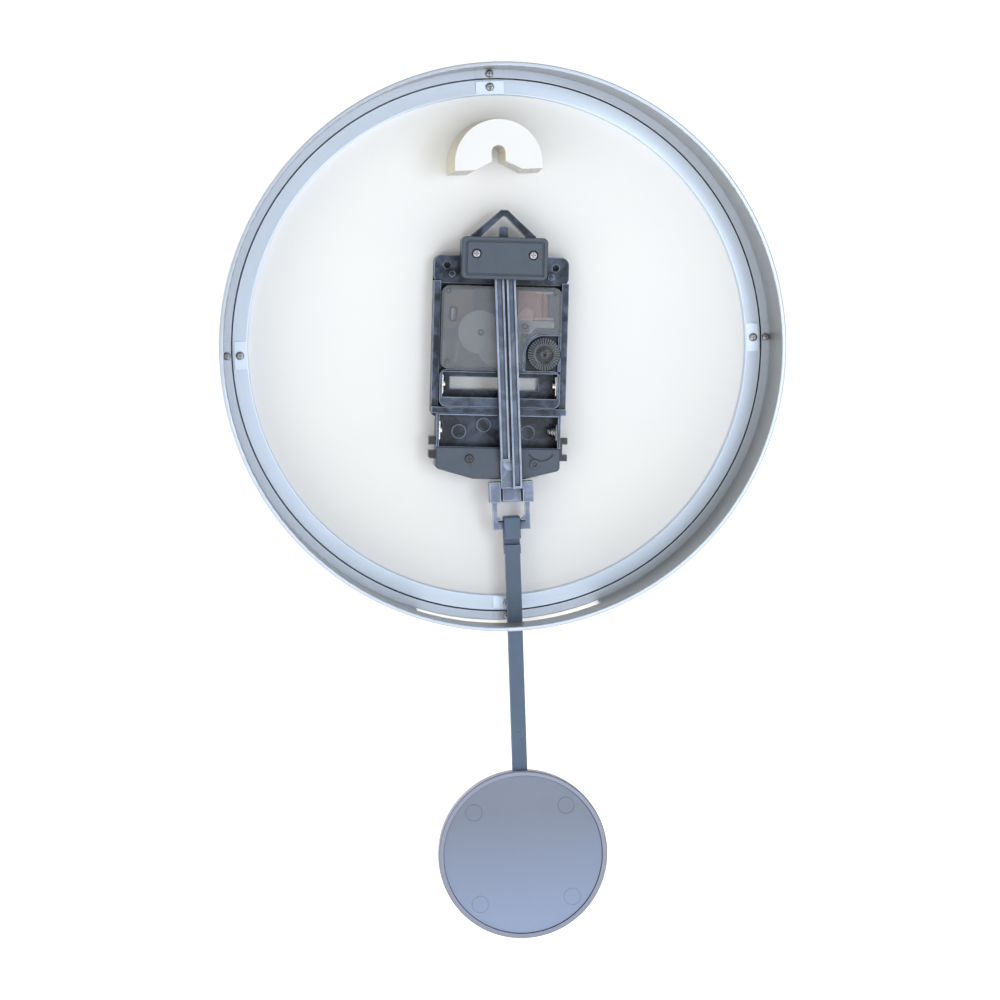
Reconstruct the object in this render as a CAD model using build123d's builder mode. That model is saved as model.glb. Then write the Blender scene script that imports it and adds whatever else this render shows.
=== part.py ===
"""Pendulum wall clock with a quartz movement, as separate pieces.

Millimetres. +Z is up, the dial faces -Y and the wall is the plane y = 0. The origin is the top of
the nail notch in the hanger block, on the wall plane. Sketches are drawn as seen from behind:
sketch x runs to the left of someone facing the dial (-X), sketch y runs up, and a positive extrude
goes towards the wall (+Y). Places in the case and the movement are counted from the hand shaft,
and places on the pendulum from its pivot.
"""
from build123d import *
from math import cos, radians, sin
import os

os.makedirs("parts", exist_ok=True)

# Overall layout
SHAFT_Z = -92.3            # hand shaft below the nail
MOVEMENT_TILT = 3.5        # the movement is screwed in slightly turned, clockwise from behind
PIVOT_ABOVE_SHAFT = 41.0
CASE_R = 130.0

# Depths, as y
DIAL_BACK = -36.0
DIAL_FRONT = -38.0
SHELF_FACE = -34.0
RING_FACE = -33.2
LENS_BACK = -48.2
BEZEL_FRONT = -52.5
PLATE_BACK = -34.5         # cradle's base plate, which lies on the dial
HOUSING_FRONT = -34.4
HOUSING_FLOOR = -32.9
COVER_SPLIT = -26.5        # where the rear cover meets the housing
COVER_BACK = -20.5
BAY_RIM = -21.0
DECK_BACK = -27.0          # cradle's deck under the suspension box
LEVER_FRONT = -19.5
LEVER_BACK = -14.9
BOX_BACK = -12.5
ROD_FRONT = -25.4
ROD_BACK = -22.6
BOB_FRONT = -28.3
BOB_BACK = -19.8

# Case
BAND_INNER_R = 128.4
SHELF_INNER_R = 124.4
RING_OUTER_R = 123.7
RING_INNER_R = 116.5
BEZEL_BORE_R = 118.2
SHELF_SCREW_R = 126.4
RING_SCREW_R = 120.3
PAD_WIDTH = 13.0
PAD_HEIGHT = 0.3
SLOT_HALF = 43.0
SLOT_FRONT = -33.2
SLOT_BACK = -21.5

# Movement
BOX_HALF = 28.0
BAY_TOP = -10.7
CRADLE_HALF = 31.4
CRADLE_TOP = 42.0
WALL = 1.3
BUSHING_R = 4.0
NUT_BACK = -38.6
NUT_FRONT = -40.6

# Gear train: teeth and modules
THIRD_DISTANCE = 11.52
THIRD_DIRECTION = 145.0
SECONDS_PINION, THIRD_TEETH = 8, 60
THIRD_PINION, CENTRE_TEETH = 8, 64
MIDDLE_DISTANCE = 8.4
MIDDLE_DIRECTION = 60.0
SECONDS_TEETH, MIDDLE_PINION = 48, 8
ROTOR_DISTANCE = 7.2
ROTOR_DIRECTION = 20.0
MIDDLE_TEETH, ROTOR_PINION = 40, 8
MOTION_DISTANCE = 8.4
MOTION_DIRECTION = -8.0
MINUTE_PINION, MOTION_TEETH = 12, 36
MOTION_PINION, HOUR_TEETH = 10, 40
KNOB_DISTANCE = 11.9
KNOB_PINION = 32
KNOB_R = 7.5

# Pendulum, from the pivot down
LEVER_HALF = 4.75
LEFT_RIB_END = -93.5
LEVER_END = -106.3
BLOCK_TOP = -103.4
BLOCK_BOTTOM = -113.0
WINDOW_BOTTOM = -121.6
STIRRUP_BOTTOM = -126.0
HOOK_TOP = -119.7
TONGUE_END = -130.0
ROD_TOP = -133.3
ROD_WIDTH = 7.0
BOB_CENTRE = -279.0
BOB_R = 39.8
BOB_RIM = 2.3
HOOK_AXIS = -123.0          # the rod's hook turns about this height on the stirrup's round bar

# Hands, clockwise from twelve as seen from the front
HOUR_ANGLE = 305.0
MINUTE_ANGLE = 60.0
SECONDS_ANGLE = 210.0


def case_plane(y):
    """Plane on the hand shaft, square to the case, at depth y."""
    return Plane(origin=(0, y, SHAFT_Z), x_dir=(-1, 0, 0), z_dir=(0, 1, 0))


def movement_plane(y):
    """Plane on the hand shaft, turned with the movement."""
    tilt = radians(MOVEMENT_TILT)
    return Plane(origin=(0, y, SHAFT_Z), x_dir=(-cos(tilt), 0, -sin(tilt)), z_dir=(0, 1, 0))


def pendulum_plane(y):
    """Plane on the pendulum's pivot, hanging plumb."""
    tilt = radians(MOVEMENT_TILT)
    pivot_x = -PIVOT_ABOVE_SHAFT * sin(tilt)
    pivot_z = SHAFT_Z + PIVOT_ABOVE_SHAFT * cos(tilt)
    return Plane(origin=(pivot_x, y, pivot_z), x_dir=(-1, 0, 0), z_dir=(0, 1, 0))


# Half section of turned parts: sketch x is the radius from the shaft, sketch y is depth.
SECTION = Plane(origin=(0, 0, SHAFT_Z), x_dir=(1, 0, 0), z_dir=(0, 0, 1))
SHAFT_AXIS = Axis((0, 0, SHAFT_Z), (0, 1, 0))


def polar(radius, direction):
    return (radius * cos(radians(direction)), radius * sin(radians(direction)))


def quarters(radius):
    """Four places at twelve, three, six and nine o'clock."""
    return [polar(radius, turn) for turn in (90, 0, 270, 180)]


def save(piece, label):
    piece.part.label = label
    export_step(piece.part, f"parts/{label}.step")


def pan_screws(label, plane, places, seat, shank, head_r=1.9, head=1.5, shank_r=1.0):
    """Cross-head pan screws whose heads sit at depth seat and stand towards the wall."""
    with BuildPart() as screws:
        with BuildSketch(plane(seat)):
            with Locations(*places):
                Circle(head_r)
        extrude(amount=head)
        fillet(screws.edges().group_by(Axis.Y)[-1], head * 0.6)
        with BuildSketch(plane(seat + head)):
            with Locations(*places):
                Rectangle(head_r * 1.15, 0.5)
                Rectangle(0.5, head_r * 1.15)
        extrude(amount=-head * 0.5, mode=Mode.SUBTRACT)
        with BuildSketch(plane(seat)):
            with Locations(*places):
                Circle(shank_r)
        extrude(amount=-shank)
    save(screws, label)


def slab(plane, low, high, *shapes, mode=Mode.ADD):
    """Extrude rectangles, each (left, right, bottom, top), from depth low to depth high."""
    with BuildSketch(plane(low)) as rectangles:
        for left, right, bottom, top in shapes:
            with Locations(((left + right) / 2, (bottom + top) / 2)):
                Rectangle(right - left, top - bottom)
    extrude(rectangles.sketch, amount=high - low, mode=mode)


def rod_between(plane, low, high, radius, place=(0, 0), mode=Mode.ADD):
    """Round bar along the depth, from low to high."""
    with BuildSketch(plane(low)) as disc:
        with Locations(place):
            Circle(radius)
    extrude(disc.sketch, amount=high - low, mode=mode)


# ---------------------------------------------------------------- case

with BuildPart() as case_band:
    with BuildSketch(SECTION) as band_section:
        with BuildLine():
            Polyline(
                (CASE_R, DIAL_BACK),
                (CASE_R, 0),
                (127.9, 0),
                (127.9, -2.0),
                (BAND_INNER_R, -3.2),
                (BAND_INNER_R, SHELF_FACE),
                (SHELF_INNER_R, SHELF_FACE),
                (SHELF_INNER_R, DIAL_BACK),
                close=True,
            )
        make_face()
        fillet(band_section.vertices().group_by(Axis.Y)[-1], 0.6)
    revolve(axis=SHAFT_AXIS)
    with BuildSketch(case_plane(SHELF_FACE)):
        Rectangle(PAD_WIDTH, 2 * BAND_INNER_R)
        Rectangle(2 * BAND_INNER_R, PAD_WIDTH)
        Circle(BAND_INNER_R + 0.5, mode=Mode.INTERSECT)
        Circle(SHELF_INNER_R, mode=Mode.SUBTRACT)
    extrude(amount=PAD_HEIGHT)
    with BuildSketch(case_plane(DIAL_BACK)):
        with Locations(*quarters(SHELF_SCREW_R)):
            Circle(1.05)
    extrude(amount=3, mode=Mode.SUBTRACT)
    slab(case_plane, SLOT_FRONT, SLOT_BACK, (-SLOT_HALF, SLOT_HALF, -132, -118), mode=Mode.SUBTRACT)
save(case_band, "case_band")

with BuildPart() as bezel:
    with BuildSketch(SECTION) as bezel_section:
        with BuildLine():
            Polyline(
                (BEZEL_BORE_R, DIAL_BACK),
                (122.6, DIAL_BACK),
                (122.6, -48),
                (125.0, -48),
                (125.0, DIAL_BACK),
                (CASE_R, DIAL_BACK),
                (CASE_R, BEZEL_FRONT),
                (119, BEZEL_FRONT),
                (114, -51.2),
                (114, -50.1),
                (BEZEL_BORE_R, -50.1),
                close=True,
            )
        make_face()
        fillet(bezel_section.vertices().group_by(Axis.Y)[0].sort_by(Axis.X)[-1], 3.5)
    revolve(axis=SHAFT_AXIS)
    with BuildSketch(case_plane(DIAL_BACK)):
        with Locations(*quarters(SHELF_SCREW_R), *quarters(RING_SCREW_R)):
            Circle(1.05)
    extrude(amount=-9, mode=Mode.SUBTRACT)
save(bezel, "bezel")

with BuildPart() as retaining_ring:
    with BuildSketch(SECTION) as ring_section:
        with BuildLine():
            Polyline(
                (RING_OUTER_R, DIAL_BACK),
                (RING_OUTER_R, RING_FACE - 0.6),
                (RING_INNER_R, RING_FACE + 0.2),
                (RING_INNER_R, DIAL_BACK),
                close=True,
            )
        make_face()
        fillet(ring_section.vertices().group_by(Axis.Y)[-1], 0.7)
    revolve(axis=SHAFT_AXIS)
    with BuildSketch(case_plane(RING_FACE - 0.8)):
        Rectangle(PAD_WIDTH, 2 * RING_OUTER_R)
        Rectangle(2 * RING_OUTER_R, PAD_WIDTH)
        Circle(RING_OUTER_R - 0.8, mode=Mode.INTERSECT)
        Circle(RING_INNER_R + 0.8, mode=Mode.SUBTRACT)
    extrude(amount=0.8 + PAD_HEIGHT)
    with BuildSketch(case_plane(DIAL_BACK)):
        with Locations(*quarters(RING_SCREW_R)):
            Circle(1.05)
    extrude(amount=4, mode=Mode.SUBTRACT)
save(retaining_ring, "retaining_ring")

pan_screws("shelf_screws", case_plane, quarters(SHELF_SCREW_R), SHELF_FACE + PAD_HEIGHT, 9.0, head_r=1.75)
pan_screws("retaining_screws", case_plane, quarters(RING_SCREW_R), RING_FACE + PAD_HEIGHT, 9.0)

with BuildPart() as lens:
    rod_between(case_plane, -50.1, LENS_BACK, 118.0)
save(lens, "lens")

with BuildPart() as spacer_ring:
    rod_between(case_plane, LENS_BACK, DIAL_FRONT, 118.0)
    rod_between(case_plane, LENS_BACK, DIAL_FRONT, 115.4, mode=Mode.SUBTRACT)
save(spacer_ring, "spacer_ring")

with BuildPart() as dial_plate:
    rod_between(case_plane, DIAL_FRONT, DIAL_BACK, 118.0)
    rod_between(case_plane, DIAL_FRONT, DIAL_BACK, BUSHING_R + 0.2, mode=Mode.SUBTRACT)
save(dial_plate, "dial_plate")


def dial_markers(label, turns, length, width, outer_r):
    """Raised batons on the dial's face, pointing at the shaft."""
    with BuildPart() as markers:
        with BuildSketch(case_plane(DIAL_FRONT)):
            for turn in turns:
                with Locations(Location(polar(outer_r - length / 2, turn) + (0,), turn)):
                    Rectangle(length, width)
        extrude(amount=-0.5)
    save(markers, label)


dial_markers("hour_markers", range(0, 360, 30), 12.0, 3.2, 111.0)
dial_markers("minute_markers", [turn for turn in range(0, 360, 6) if turn % 30], 4.0, 0.9, 111.0)



def hanger_outline(half, middle, bottom):
    """Closed D on its flat side: a half circle of radius half above a short straight skirt."""
    with BuildLine() as outline:
        Line((-half, bottom), (half, bottom))
        Line((half, bottom), (half, middle))
        ThreePointArc((half, middle), (0, middle + half), (-half, middle))
        Line((-half, middle), (-half, bottom))
    make_face(outline.edges())


# The nail rests against the round top of this block's notch, whose top is the origin.
with BuildPart() as hanger_block:
    with BuildSketch(case_plane(DIAL_BACK)):
        hanger_outline(21.2, 84.1, 80.0)
    with BuildSketch(case_plane(-0.4)):
        hanger_outline(20.0, 84.1, 81.2)
    loft()
    with BuildSketch(case_plane(DIAL_BACK)):
        with BuildLine():
            Line((-3.2, 89.1), (-3.2, 85.0))
            Line((-3.2, 85.0), (-11.7, 80.7))
            Line((-11.7, 80.7), (-11.7, 76.0))
            Line((-11.7, 76.0), (11.7, 76.0))
            Line((11.7, 76.0), (11.7, 80.7))
            Line((11.7, 80.7), (3.2, 85.0))
            Line((3.2, 85.0), (3.2, 89.1))
            RadiusArc((3.2, 89.1), (-3.2, 89.1), -3.2)
        make_face()
    extrude(amount=-DIAL_BACK, mode=Mode.SUBTRACT)
save(hanger_block, "hanger_block")

# ---------------------------------------------------------------- movement shell

DRIVE_HALF = 28.9
DRIVE_TOP = -31.4
DRIVE_SPLIT = -46.6
DRIVE_BOTTOM = -61.3
DRIVE_CORNER = -56.8


def drive_outline(y, top, inset=0.0):
    """Lower body's face at depth y: square shoulders and a bottom that rises to both sides, to
    clear the swinging stirrup."""
    half = DRIVE_HALF - inset
    with BuildSketch(movement_plane(y)) as outline:
        with BuildLine():
            Polyline(
                (-half, top), (half, top), (half, DRIVE_CORNER + inset), (11.5, DRIVE_BOTTOM + inset),
                (-11.5, DRIVE_BOTTOM + inset), (-half, DRIVE_CORNER + inset), close=True,
            )
        make_face()
        fillet(outline.vertices().filter_by(lambda corner: corner.Y < -50), 1.9)
    return outline.sketch


with BuildPart() as cradle_frame:
    with BuildSketch(movement_plane(DIAL_BACK)) as cradle_outline:
        with Locations((0, (CRADLE_TOP - 33.4) / 2)):
            RectangleRounded(2 * CRADLE_HALF, CRADLE_TOP + 33.4, 3.6)
    extrude(amount=PLATE_BACK - DIAL_BACK)
    extrude(drive_outline(DIAL_BACK, -31.0, 0.2), amount=PLATE_BACK - DIAL_BACK)
    # deck under the suspension box, hollow towards the dial
    with BuildSketch(movement_plane(DIAL_BACK)):
        with Locations((0, 35.45)):
            RectangleRounded(2 * CRADLE_HALF, 2 * (CRADLE_TOP - 35.45), 3.6)
    extrude(amount=DECK_BACK - DIAL_BACK)
    slab(movement_plane, DIAL_BACK, DECK_BACK - 1.6, (-29.8, 29.8, 30.4, 40.4), mode=Mode.SUBTRACT)
    # side rails and the cross bar between the two battery bays
    slab(
        movement_plane, DIAL_BACK, -25.0,
        (-CRADLE_HALF, -BOX_HALF - 0.2, -28.3, 30),
        (BOX_HALF + 0.2, CRADLE_HALF, -28.3, 30),
    )
    slab(movement_plane, DIAL_BACK, -22.0, (-CRADLE_HALF, CRADLE_HALF, -31.2, -28.3))
    # mounting holes, locating pips, bushing hole and the window through which the dial shows
    with BuildSketch(movement_plane(DIAL_BACK)):
        with Locations((-25.4, 37.3), (25.2, 37.1)):
            Circle(1.6)
        Circle(BUSHING_R + 0.2)
        with Locations((-1.6, -17.4)):
            Rectangle(41.6, 5.8)
    extrude(amount=12, mode=Mode.SUBTRACT)
    with BuildSketch(movement_plane(DECK_BACK)):
        with Locations((-23.1, 33.2), (23.1, 32.8)):
            Circle(1.5)
    extrude(amount=1.2)
save(cradle_frame, "cradle_frame")

KNOB_PLACE = polar(MOTION_DISTANCE + KNOB_DISTANCE, MOTION_DIRECTION)
MOTION_PLACE = polar(MOTION_DISTANCE, MOTION_DIRECTION)
THIRD_PLACE = polar(THIRD_DISTANCE, THIRD_DIRECTION)
MIDDLE_PLACE = polar(MIDDLE_DISTANCE, MIDDLE_DIRECTION)
ROTOR_PLACE = (
    MIDDLE_PLACE[0] + polar(ROTOR_DISTANCE, ROTOR_DIRECTION)[0],
    MIDDLE_PLACE[1] + polar(ROTOR_DISTANCE, ROTOR_DIRECTION)[1],
)
POCKET_R = 8.6
POCKET_WALL = 1.1


def knob_pocket(y, grow=0.0):
    """Face at depth y of the corner pocket around the knob: a round end that runs into the box's
    side and its battery bay."""
    knob_u, knob_v = KNOB_PLACE
    reach = POCKET_R + grow
    with BuildSketch(movement_plane(y)) as pocket:
        with Locations(KNOB_PLACE):
            Circle(reach)
        with Locations(((knob_u + BOX_HALF) / 2, (knob_v + reach + BAY_TOP) / 2)):
            Rectangle(BOX_HALF - knob_u, knob_v + reach - BAY_TOP)
        with Locations(((knob_u - reach + BOX_HALF) / 2, (knob_v + BAY_TOP) / 2)):
            Rectangle(BOX_HALF - knob_u + reach, knob_v - BAY_TOP)
        with Locations((0, BAY_TOP + 30)):
            Rectangle(2 * BOX_HALF, 60, mode=Mode.INTERSECT)
    return pocket.sketch


with BuildPart() as movement_housing:
    with BuildSketch(movement_plane(HOUSING_FRONT)):
        RectangleRounded(2 * BOX_HALF, 2 * BOX_HALF, 4.0)
    extrude(amount=COVER_SPLIT - HOUSING_FRONT)
    with BuildSketch(movement_plane(COVER_SPLIT)):
        with Locations((0, (BAY_TOP - BOX_HALF) / 2)):
            RectangleRounded(2 * BOX_HALF, BAY_TOP + BOX_HALF, 3.0)
    extrude(amount=BAY_RIM - COVER_SPLIT)
    # gear space above, battery bay below
    slab(
        movement_plane, HOUSING_FLOOR, COVER_SPLIT,
        (WALL - BOX_HALF, BOX_HALF - WALL, BAY_TOP - 0.1, BOX_HALF - WALL),
        mode=Mode.SUBTRACT,
    )
    slab(
        movement_plane, HOUSING_FLOOR, BAY_RIM,
        (WALL - BOX_HALF, BOX_HALF - WALL, WALL - BOX_HALF, BAY_TOP - WALL),
        mode=Mode.SUBTRACT,
    )
    # sloping lip that holds the battery in
    slab(movement_plane, -24.0, BAY_RIM, (WALL - BOX_HALF - 0.1, BOX_HALF - WALL + 0.1, -27.0, -23.6))
    # window through the bay's floor
    with BuildSketch(movement_plane(HOUSING_FRONT)):
        with Locations((-1.6, -17.4)):
            Rectangle(41.6, 5.8)
    extrude(amount=2, mode=Mode.SUBTRACT)
    rod_between(movement_plane, -41.0, HOUSING_FLOOR, BUSHING_R)
    rod_between(movement_plane, -41.0, HOUSING_FLOOR, 2.45, mode=Mode.SUBTRACT)
    # pocket around the setting knob, with its floor
    extrude(knob_pocket(COVER_SPLIT, POCKET_WALL), amount=5.9)
    extrude(knob_pocket(-23.6), amount=4.0, mode=Mode.SUBTRACT)
    slab(movement_plane, COVER_SPLIT, -24.4, (9.0, BOX_HALF - WALL, BAY_TOP - 0.1, 8.0), mode=Mode.SUBTRACT)
    slab(movement_plane, -25.0, BAY_RIM, (BOX_HALF - WALL, BOX_HALF, BAY_TOP, 6.9))
    slab(movement_plane, COVER_SPLIT, -24.0, (BOX_HALF - WALL, BOX_HALF, BAY_TOP - 0.1, 6.9))
    rod_between(movement_plane, -24.4, -23.6, 1.3, KNOB_PLACE, mode=Mode.SUBTRACT)
    rod_between(movement_plane, -23.6, BAY_RIM, KNOB_R + 0.4, KNOB_PLACE, mode=Mode.SUBTRACT)
save(movement_housing, "movement_housing")

with BuildPart() as rear_cover:
    cover_middle = (BAY_TOP + BOX_HALF) / 2 + 0.05
    cover_height = BOX_HALF - BAY_TOP - 0.1
    with BuildSketch(movement_plane(COVER_SPLIT)):
        with Locations((0, cover_middle)):
            RectangleRounded(2 * BOX_HALF, cover_height, 4.0)
    extrude(amount=COVER_BACK - COVER_SPLIT)
    with BuildSketch(movement_plane(COVER_SPLIT)):
        with Locations((0, cover_middle)):
            RectangleRounded(2 * (BOX_HALF - WALL), cover_height - 2 * WALL, 2.7)
    extrude(amount=COVER_BACK - 1.2 - COVER_SPLIT, mode=Mode.SUBTRACT)
    # corner left free for the knob's pocket
    extrude(knob_pocket(COVER_SPLIT, POCKET_WALL + 0.1), amount=6.1, mode=Mode.SUBTRACT)
    # sockets for the wheel pivots
    for place, low in ((THIRD_PLACE, -23.0), (ROTOR_PLACE, -23.0), (MIDDLE_PLACE, -22.4), ((0, 0), -22.6)):
        rod_between(movement_plane, low, COVER_BACK - 1.2, 1.4, place)
        rod_between(movement_plane, low, COVER_BACK - 1.2, 0.6, place, mode=Mode.SUBTRACT)
save(rear_cover, "rear_cover")

# ---------------------------------------------------------------- hands and train


def wheel_outline(teeth, module, phase):
    """Closed face of a small wheel with straight-sided teeth and generous backlash."""
    pitch = 360 / teeth
    radius = teeth * module / 2
    tip, root = radius + 0.75 * module, radius - 1.05 * module
    corners = []
    for tooth in range(teeth):
        middle = phase + tooth * pitch
        for part_turn, corner_r in ((-0.27, root), (-0.10, tip), (0.10, tip), (0.27, root)):
            corners.append(polar(corner_r, middle + part_turn * pitch))
    with BuildLine() as outline:
        Polyline(*corners, close=True)
    make_face(outline.edges())


def toothed(low, high, place, teeth, module, phase):
    """Toothed disc from depth low to depth high, centred on place."""
    plane = movement_plane(low)
    centred = Plane(plane.from_local_coords(place + (0,)), x_dir=plane.x_dir, z_dir=plane.z_dir)
    with BuildSketch(centred) as outline:
        wheel_outline(teeth, module, phase)
    extrude(outline.sketch, amount=high - low)


def mesh_phase(phase, teeth, mate_teeth, direction):
    """Phase of a mating wheel, seen in direction, whose gap takes this wheel's tooth."""
    offset = phase - direction
    return direction + 180 - offset * teeth / mate_teeth + 180 / mate_teeth


def axle(low, high, radius, place=(0, 0)):
    rod_between(movement_plane, low, high, radius, place)


def bore(low, high, radius, place=(0, 0)):
    rod_between(movement_plane, low, high, radius, place, mode=Mode.SUBTRACT)


TRAIN_MODULE = 2 * THIRD_DISTANCE / (SECONDS_PINION + THIRD_TEETH)
CENTRE_MODULE = 2 * THIRD_DISTANCE / (THIRD_PINION + CENTRE_TEETH)
MIDDLE_MODULE = 2 * MIDDLE_DISTANCE / (SECONDS_TEETH + MIDDLE_PINION)
ROTOR_MODULE = 2 * ROTOR_DISTANCE / (MIDDLE_TEETH + ROTOR_PINION)
MOTION_MODULE = 2 * MOTION_DISTANCE / (MINUTE_PINION + MOTION_TEETH)
HOUR_MODULE = 2 * MOTION_DISTANCE / (MOTION_PINION + HOUR_TEETH)
KNOB_MODULE = 2 * KNOB_DISTANCE / (MOTION_TEETH + KNOB_PINION)

with BuildPart() as seconds_wheel:
    toothed(-24.0, -23.4, (0, 0), SECONDS_TEETH, MIDDLE_MODULE, MIDDLE_DIRECTION)
    toothed(-27.4, -26.4, (0, 0), SECONDS_PINION, TRAIN_MODULE, THIRD_DIRECTION)
    axle(-46.6, -21.9, 0.55)
save(seconds_wheel, "seconds_wheel")

with BuildPart() as third_wheel:
    toothed(
        -27.2, -26.6, THIRD_PLACE, THIRD_TEETH, TRAIN_MODULE,
        mesh_phase(THIRD_DIRECTION, SECONDS_PINION, THIRD_TEETH, THIRD_DIRECTION),
    )
    toothed(-29.0, -28.0, THIRD_PLACE, THIRD_PINION, CENTRE_MODULE, THIRD_DIRECTION + 180)
    axle(-32.8, -21.9, 0.5, THIRD_PLACE)
save(third_wheel, "third_wheel")

with BuildPart() as centre_wheel:
    toothed(
        -28.8, -28.2, (0, 0), CENTRE_TEETH, CENTRE_MODULE,
        mesh_phase(THIRD_DIRECTION + 180, THIRD_PINION, CENTRE_TEETH, THIRD_DIRECTION + 180),
    )
    bore(-28.8, -28.2, 1.3)
save(centre_wheel, "centre_wheel")

with BuildPart() as minute_tube:
    toothed(-30.4, -29.4, (0, 0), MINUTE_PINION, MOTION_MODULE, MOTION_DIRECTION)
    axle(-44.9, -27.8, 1.25)
    bore(-44.9, -27.8, 0.6)
save(minute_tube, "minute_tube")

motion_phase = mesh_phase(MOTION_DIRECTION, MINUTE_PINION, MOTION_TEETH, MOTION_DIRECTION)
with BuildPart() as motion_wheel:
    toothed(-30.2, -29.6, MOTION_PLACE, MOTION_TEETH, MOTION_MODULE, motion_phase)
    toothed(-31.8, -30.2, MOTION_PLACE, MOTION_PINION, HOUR_MODULE, MOTION_DIRECTION + 180)
    axle(-32.8, -29.2, 0.5, MOTION_PLACE)
save(motion_wheel, "motion_wheel")

with BuildPart() as hour_wheel:
    toothed(
        -31.7, -30.9, (0, 0), HOUR_TEETH, HOUR_MODULE,
        mesh_phase(MOTION_DIRECTION + 180, MOTION_PINION, HOUR_TEETH, MOTION_DIRECTION + 180),
    )
    axle(-43.0, -30.9, 2.4)
    bore(-43.0, -30.9, 1.3)
save(hour_wheel, "hour_wheel")

with BuildPart() as middle_wheel:
    toothed(-25.6, -25.0, MIDDLE_PLACE, MIDDLE_TEETH, ROTOR_MODULE, ROTOR_DIRECTION)
    toothed(
        -24.2, -23.2, MIDDLE_PLACE, MIDDLE_PINION, MIDDLE_MODULE,
        mesh_phase(MIDDLE_DIRECTION, SECONDS_TEETH, MIDDLE_PINION, MIDDLE_DIRECTION),
    )
    axle(-26.6, -21.9, 0.4, MIDDLE_PLACE)
save(middle_wheel, "middle_wheel")

with BuildPart() as rotor:
    toothed(
        -25.8, -24.8, ROTOR_PLACE, ROTOR_PINION, ROTOR_MODULE,
        mesh_phase(ROTOR_DIRECTION, MIDDLE_TEETH, ROTOR_PINION, ROTOR_DIRECTION),
    )
    axle(-28.9, -27.0, 2.4, ROTOR_PLACE)
    axle(-32.8, -21.9, 0.4, ROTOR_PLACE)
save(rotor, "rotor")

with BuildPart() as setting_knob:
    with BuildSketch(movement_plane(-23.4)):
        with Locations(KNOB_PLACE):
            Circle(KNOB_R)
            with PolarLocations(KNOB_R, 36):
                Circle(0.22, mode=Mode.SUBTRACT)
    extrude(amount=3.4)
    # radial ribs around a sunk face with a hub
    with BuildSketch(movement_plane(-20.0)):
        with Locations(KNOB_PLACE):
            with PolarLocations(6.3, 36):
                Rectangle(2.8, 0.55)
    extrude(amount=-0.9, mode=Mode.SUBTRACT)
    rod_between(movement_plane, -20.7, -20.0, 4.1, KNOB_PLACE, mode=Mode.SUBTRACT)
    rod_between(movement_plane, -20.7, -20.1, 2.1, KNOB_PLACE)
    rod_between(movement_plane, -21.2, -20.1, 0.9, KNOB_PLACE, mode=Mode.SUBTRACT)
    axle(-32.8, -21.6, 1.2, KNOB_PLACE)
    toothed(
        -30.2, -29.6, KNOB_PLACE, KNOB_PINION, KNOB_MODULE,
        mesh_phase(motion_phase, MOTION_TEETH, KNOB_PINION, MOTION_DIRECTION),
    )
save(setting_knob, "setting_knob")

# Small plate that carries the middle wheel's lower pivot clear of the centre wheel
with BuildPart() as train_bridge:
    with BuildSketch(movement_plane(-26.7)):
        with BuildLine():
            Polyline((2.2, 9.6), (2.6, 5.4), (6.2, 5.2), (14.6, 11.5), (15.4, 17.0), (12.0, 18.6), close=True)
        make_face()
    extrude(amount=0.5)
    bore(-26.7, -26.2, 0.45, MIDDLE_PLACE)
    bore(-26.7, -26.2, 0.9, ROTOR_PLACE)
    rod_between(movement_plane, HOUSING_FLOOR, -26.7, 1.2, (13.4, 16.6))
save(train_bridge, "train_bridge")


def hand_plane(y, angle):
    """Plane on the shaft, turned so that its y axis is the hand's direction."""
    turn = radians(angle)
    return Plane(origin=(0, y, SHAFT_Z), x_dir=(-cos(turn), 0, sin(turn)), z_dir=(0, 1, 0))


def make_hand(label, angle, low, high, bore_r, hub_r, length, width, tail, tip):
    """Tapered flat hand with a round hub, a short tail and a bore for its tube."""
    with BuildPart() as hand:
        with BuildSketch(hand_plane(low, angle)):
            with BuildLine():
                Polyline(
                    (-width / 2, -tail), (width / 2, -tail), (width / 2, length * 0.7),
                    (tip / 2, length), (-tip / 2, length), (-width / 2, length * 0.7), close=True,
                )
            make_face()
            Circle(hub_r)
            Circle(bore_r, mode=Mode.SUBTRACT)
        extrude(amount=high - low)
    save(hand, label)


make_hand("hour_hand", HOUR_ANGLE, -43.0, -42.4, 2.4, 5.0, 62, 6.0, 16, 3.0)
make_hand("minute_hand", MINUTE_ANGLE, -44.9, -44.3, 1.25, 3.8, 94, 4.6, 20, 2.2)
make_hand("seconds_hand", SECONDS_ANGLE, -46.6, -46.2, 0.55, 2.8, 100, 1.4, 30, 0.7)

with BuildPart() as washer:
    rod_between(case_plane, NUT_BACK, DIAL_FRONT, 7.5)
    rod_between(case_plane, NUT_BACK, DIAL_FRONT, BUSHING_R + 0.1, mode=Mode.SUBTRACT)
save(washer, "washer")

with BuildPart() as fixing_nut:
    with BuildSketch(case_plane(NUT_FRONT)):
        RegularPolygon(6.4, 6)
        Circle(BUSHING_R, mode=Mode.SUBTRACT)
    extrude(amount=NUT_BACK - NUT_FRONT)
    chamfer(fixing_nut.edges().group_by(Axis.Y)[0].sort_by(Edge.length)[-6:], 0.3)
save(fixing_nut, "fixing_nut")

# ---------------------------------------------------------------- clock electrics

COIL_X = 20.3
COIL_Y = -27.6

with BuildPart() as stator:
    with BuildSketch(movement_plane(-27.9)):
        with BuildLine():
            Polyline(
                (7.4, 13.4), (7.4, 9.2), (9.6, 6.4), (14.6, 6.4), (16.6, 9.2), (25.2, 9.2),
                (25.2, 12.4), (15.2, 12.4), (12.6, 14.6), close=True,
            )
        make_face()
        with Locations(ROTOR_PLACE):
            Circle(2.8, mode=Mode.SUBTRACT)
    extrude(amount=0.7)
save(stator, "stator")

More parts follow.
